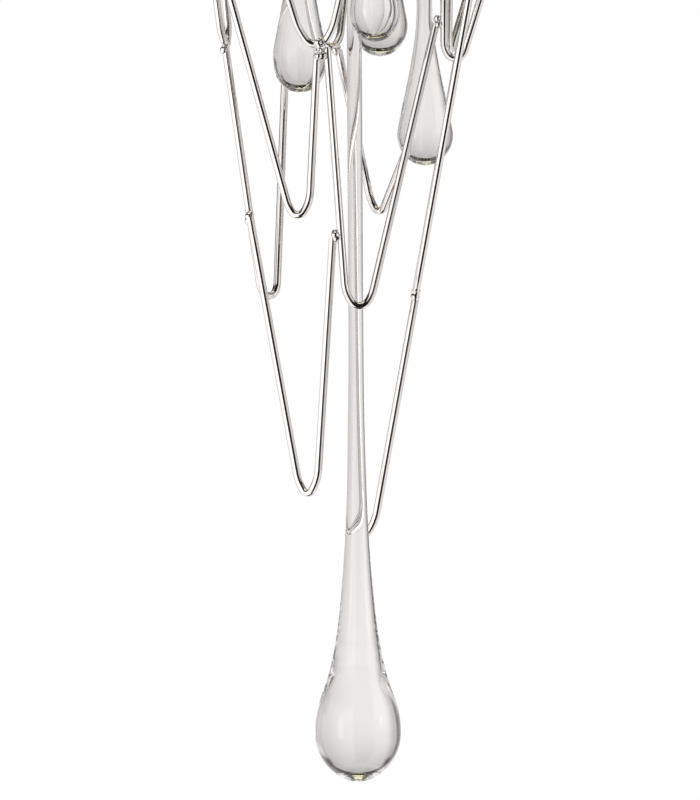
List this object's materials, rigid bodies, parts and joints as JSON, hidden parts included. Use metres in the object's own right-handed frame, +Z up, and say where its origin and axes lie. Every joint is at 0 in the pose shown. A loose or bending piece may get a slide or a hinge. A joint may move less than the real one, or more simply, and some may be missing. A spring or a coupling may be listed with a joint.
{
  "type": "cluster pendant light",
  "caption": "Ceiling pendant: a round canopy with downlights carries tiers of bent polished rods brazed into a hanging net, with solid clear glass drops swinging inside on hinged rods.",
  "frame": {"origin": "middle of the face of the ceiling plate that meets the ceiling", "axes": "+Z up out of that face into the ceiling, +X to the right and +Y away from the viewer of the picture"},
  "size_m": [0.344, 0.344, 1],
  "materials": {
    "polished_nickel": "polished nickel plate",
    "canopy_nickel": "polished nickel plate",
    "bright_braze": "run and plated over",
    "plated_steel": "zinc plated",
    "clear_glass": "fire polished",
    "frosted_lens": "frosted",
    "bush_rubber": "moulded",
    "board_white": "white solder mask",
    "sink_aluminium": "extruded",
    "driver_case": "moulded",
    "block_nylon": "moulded",
    "earth_brass": "plain"
  },
  "bodies": {
    "fixture": {"ceiling_plate": "plated_steel", "cable_bush": "bush_rubber", "canopy_pan": "canopy_nickel", "carrier_plate": "plated_steel", "canopy_studs": "plated_steel", "canopy_nuts": "plated_steel", "dome_nuts": "polished_nickel", "downlight_bezels": "polished_nickel", "downlight_lenses": "frosted_lens", "led_boards": "board_white", "heat_sinks": "sink_aluminium", "led_driver": "driver_case", "terminal_block": "block_nylon", "earth_screw": "earth_brass", "loop_sockets": "polished_nickel", "canopy_loops": "polished_nickel", "brazing_beads": "bright_braze", "drop_forks": "polished_nickel", "fork_pins": "plated_steel", "upper_loop_right_front": "polished_nickel", "upper_loop_right_back": "polished_nickel", "upper_loop_back_right": "polished_nickel", "upper_loop_back_left": "polished_nickel", "upper_loop_left_back": "polished_nickel", "upper_loop_left_front": "polished_nickel", "upper_loop_front_left": "polished_nickel", "upper_loop_front_right": "polished_nickel", "side_loop_left": "polished_nickel", "front_loop": "polished_nickel", "inner_back_loop": "polished_nickel", "right_back_loop": "polished_nickel", "right_front_loop": "polished_nickel", "side_loop_right": "polished_nickel", "left_front_loop": "polished_nickel", "left_back_loop": "polished_nickel", "long_front_loop": "polished_nickel", "short_inner_loop": "polished_nickel", "low_left_loop": "polished_nickel", "low_back_loop": "polished_nickel"},
    "centre_drop": {"centre_hanger_rod": "polished_nickel", "centre_drop_cap": "polished_nickel", "centre_glass_drop": "clear_glass"},
    "left_drop": {"left_hanger_rod": "polished_nickel", "left_drop_cap": "polished_nickel", "left_glass_drop": "clear_glass"},
    "front_drop": {"front_hanger_rod": "polished_nickel", "front_drop_cap": "polished_nickel", "front_glass_drop": "clear_glass"},
    "back_drop": {"back_hanger_rod": "polished_nickel", "back_drop_cap": "polished_nickel", "back_glass_drop": "clear_glass"},
    "right_drop": {"right_hanger_rod": "polished_nickel", "right_drop_cap": "polished_nickel", "right_glass_drop": "clear_glass"},
    "upper_left_drop": {"upper_left_hanger_rod": "polished_nickel", "upper_left_drop_cap": "polished_nickel", "upper_left_glass_drop": "clear_glass"},
    "upper_right_drop": {"upper_right_hanger_rod": "polished_nickel", "upper_right_drop_cap": "polished_nickel", "upper_right_glass_drop": "clear_glass"}
  },
  "joints": [
    {"name": "centre_drop_swing", "type": "hinge", "parent": "fixture", "child": "centre_drop", "pos_m": [0, 0, -0.072], "axis": [0, -1, 0], "range_deg": [-0.9, 0.9]},
    {"name": "left_drop_swing", "type": "hinge", "parent": "fixture", "child": "left_drop", "pos_m": [-0.0349, -0.002, -0.072], "axis": [0, -1, 0], "range_deg": [-1.5, 0.4]},
    {"name": "front_drop_swing", "type": "hinge", "parent": "fixture", "child": "front_drop", "pos_m": [0.0131, -0.032, -0.072], "axis": [0, -1, 0], "range_deg": [-0.4, 1]},
    {"name": "back_drop_swing", "type": "hinge", "parent": "fixture", "child": "back_drop", "pos_m": [0.017, 0.044, -0.072], "axis": [0, -1, 0], "range_deg": [-0.5, 1]},
    {"name": "right_drop_swing", "type": "hinge", "parent": "fixture", "child": "right_drop", "pos_m": [0.0452, 0.008, -0.072], "axis": [0, -1, 0], "range_deg": [-0.8, 0.6]},
    {"name": "upper_left_drop_swing", "type": "hinge", "parent": "fixture", "child": "upper_left_drop", "pos_m": [-0.05, 0.03, -0.072], "axis": [0, -1, 0], "range_deg": [-1, 1]},
    {"name": "upper_right_drop_swing", "type": "hinge", "parent": "fixture", "child": "upper_right_drop", "pos_m": [0.048, -0.028, -0.072], "axis": [0, -1, 0], "range_deg": [-1, 1]}
  ]
}
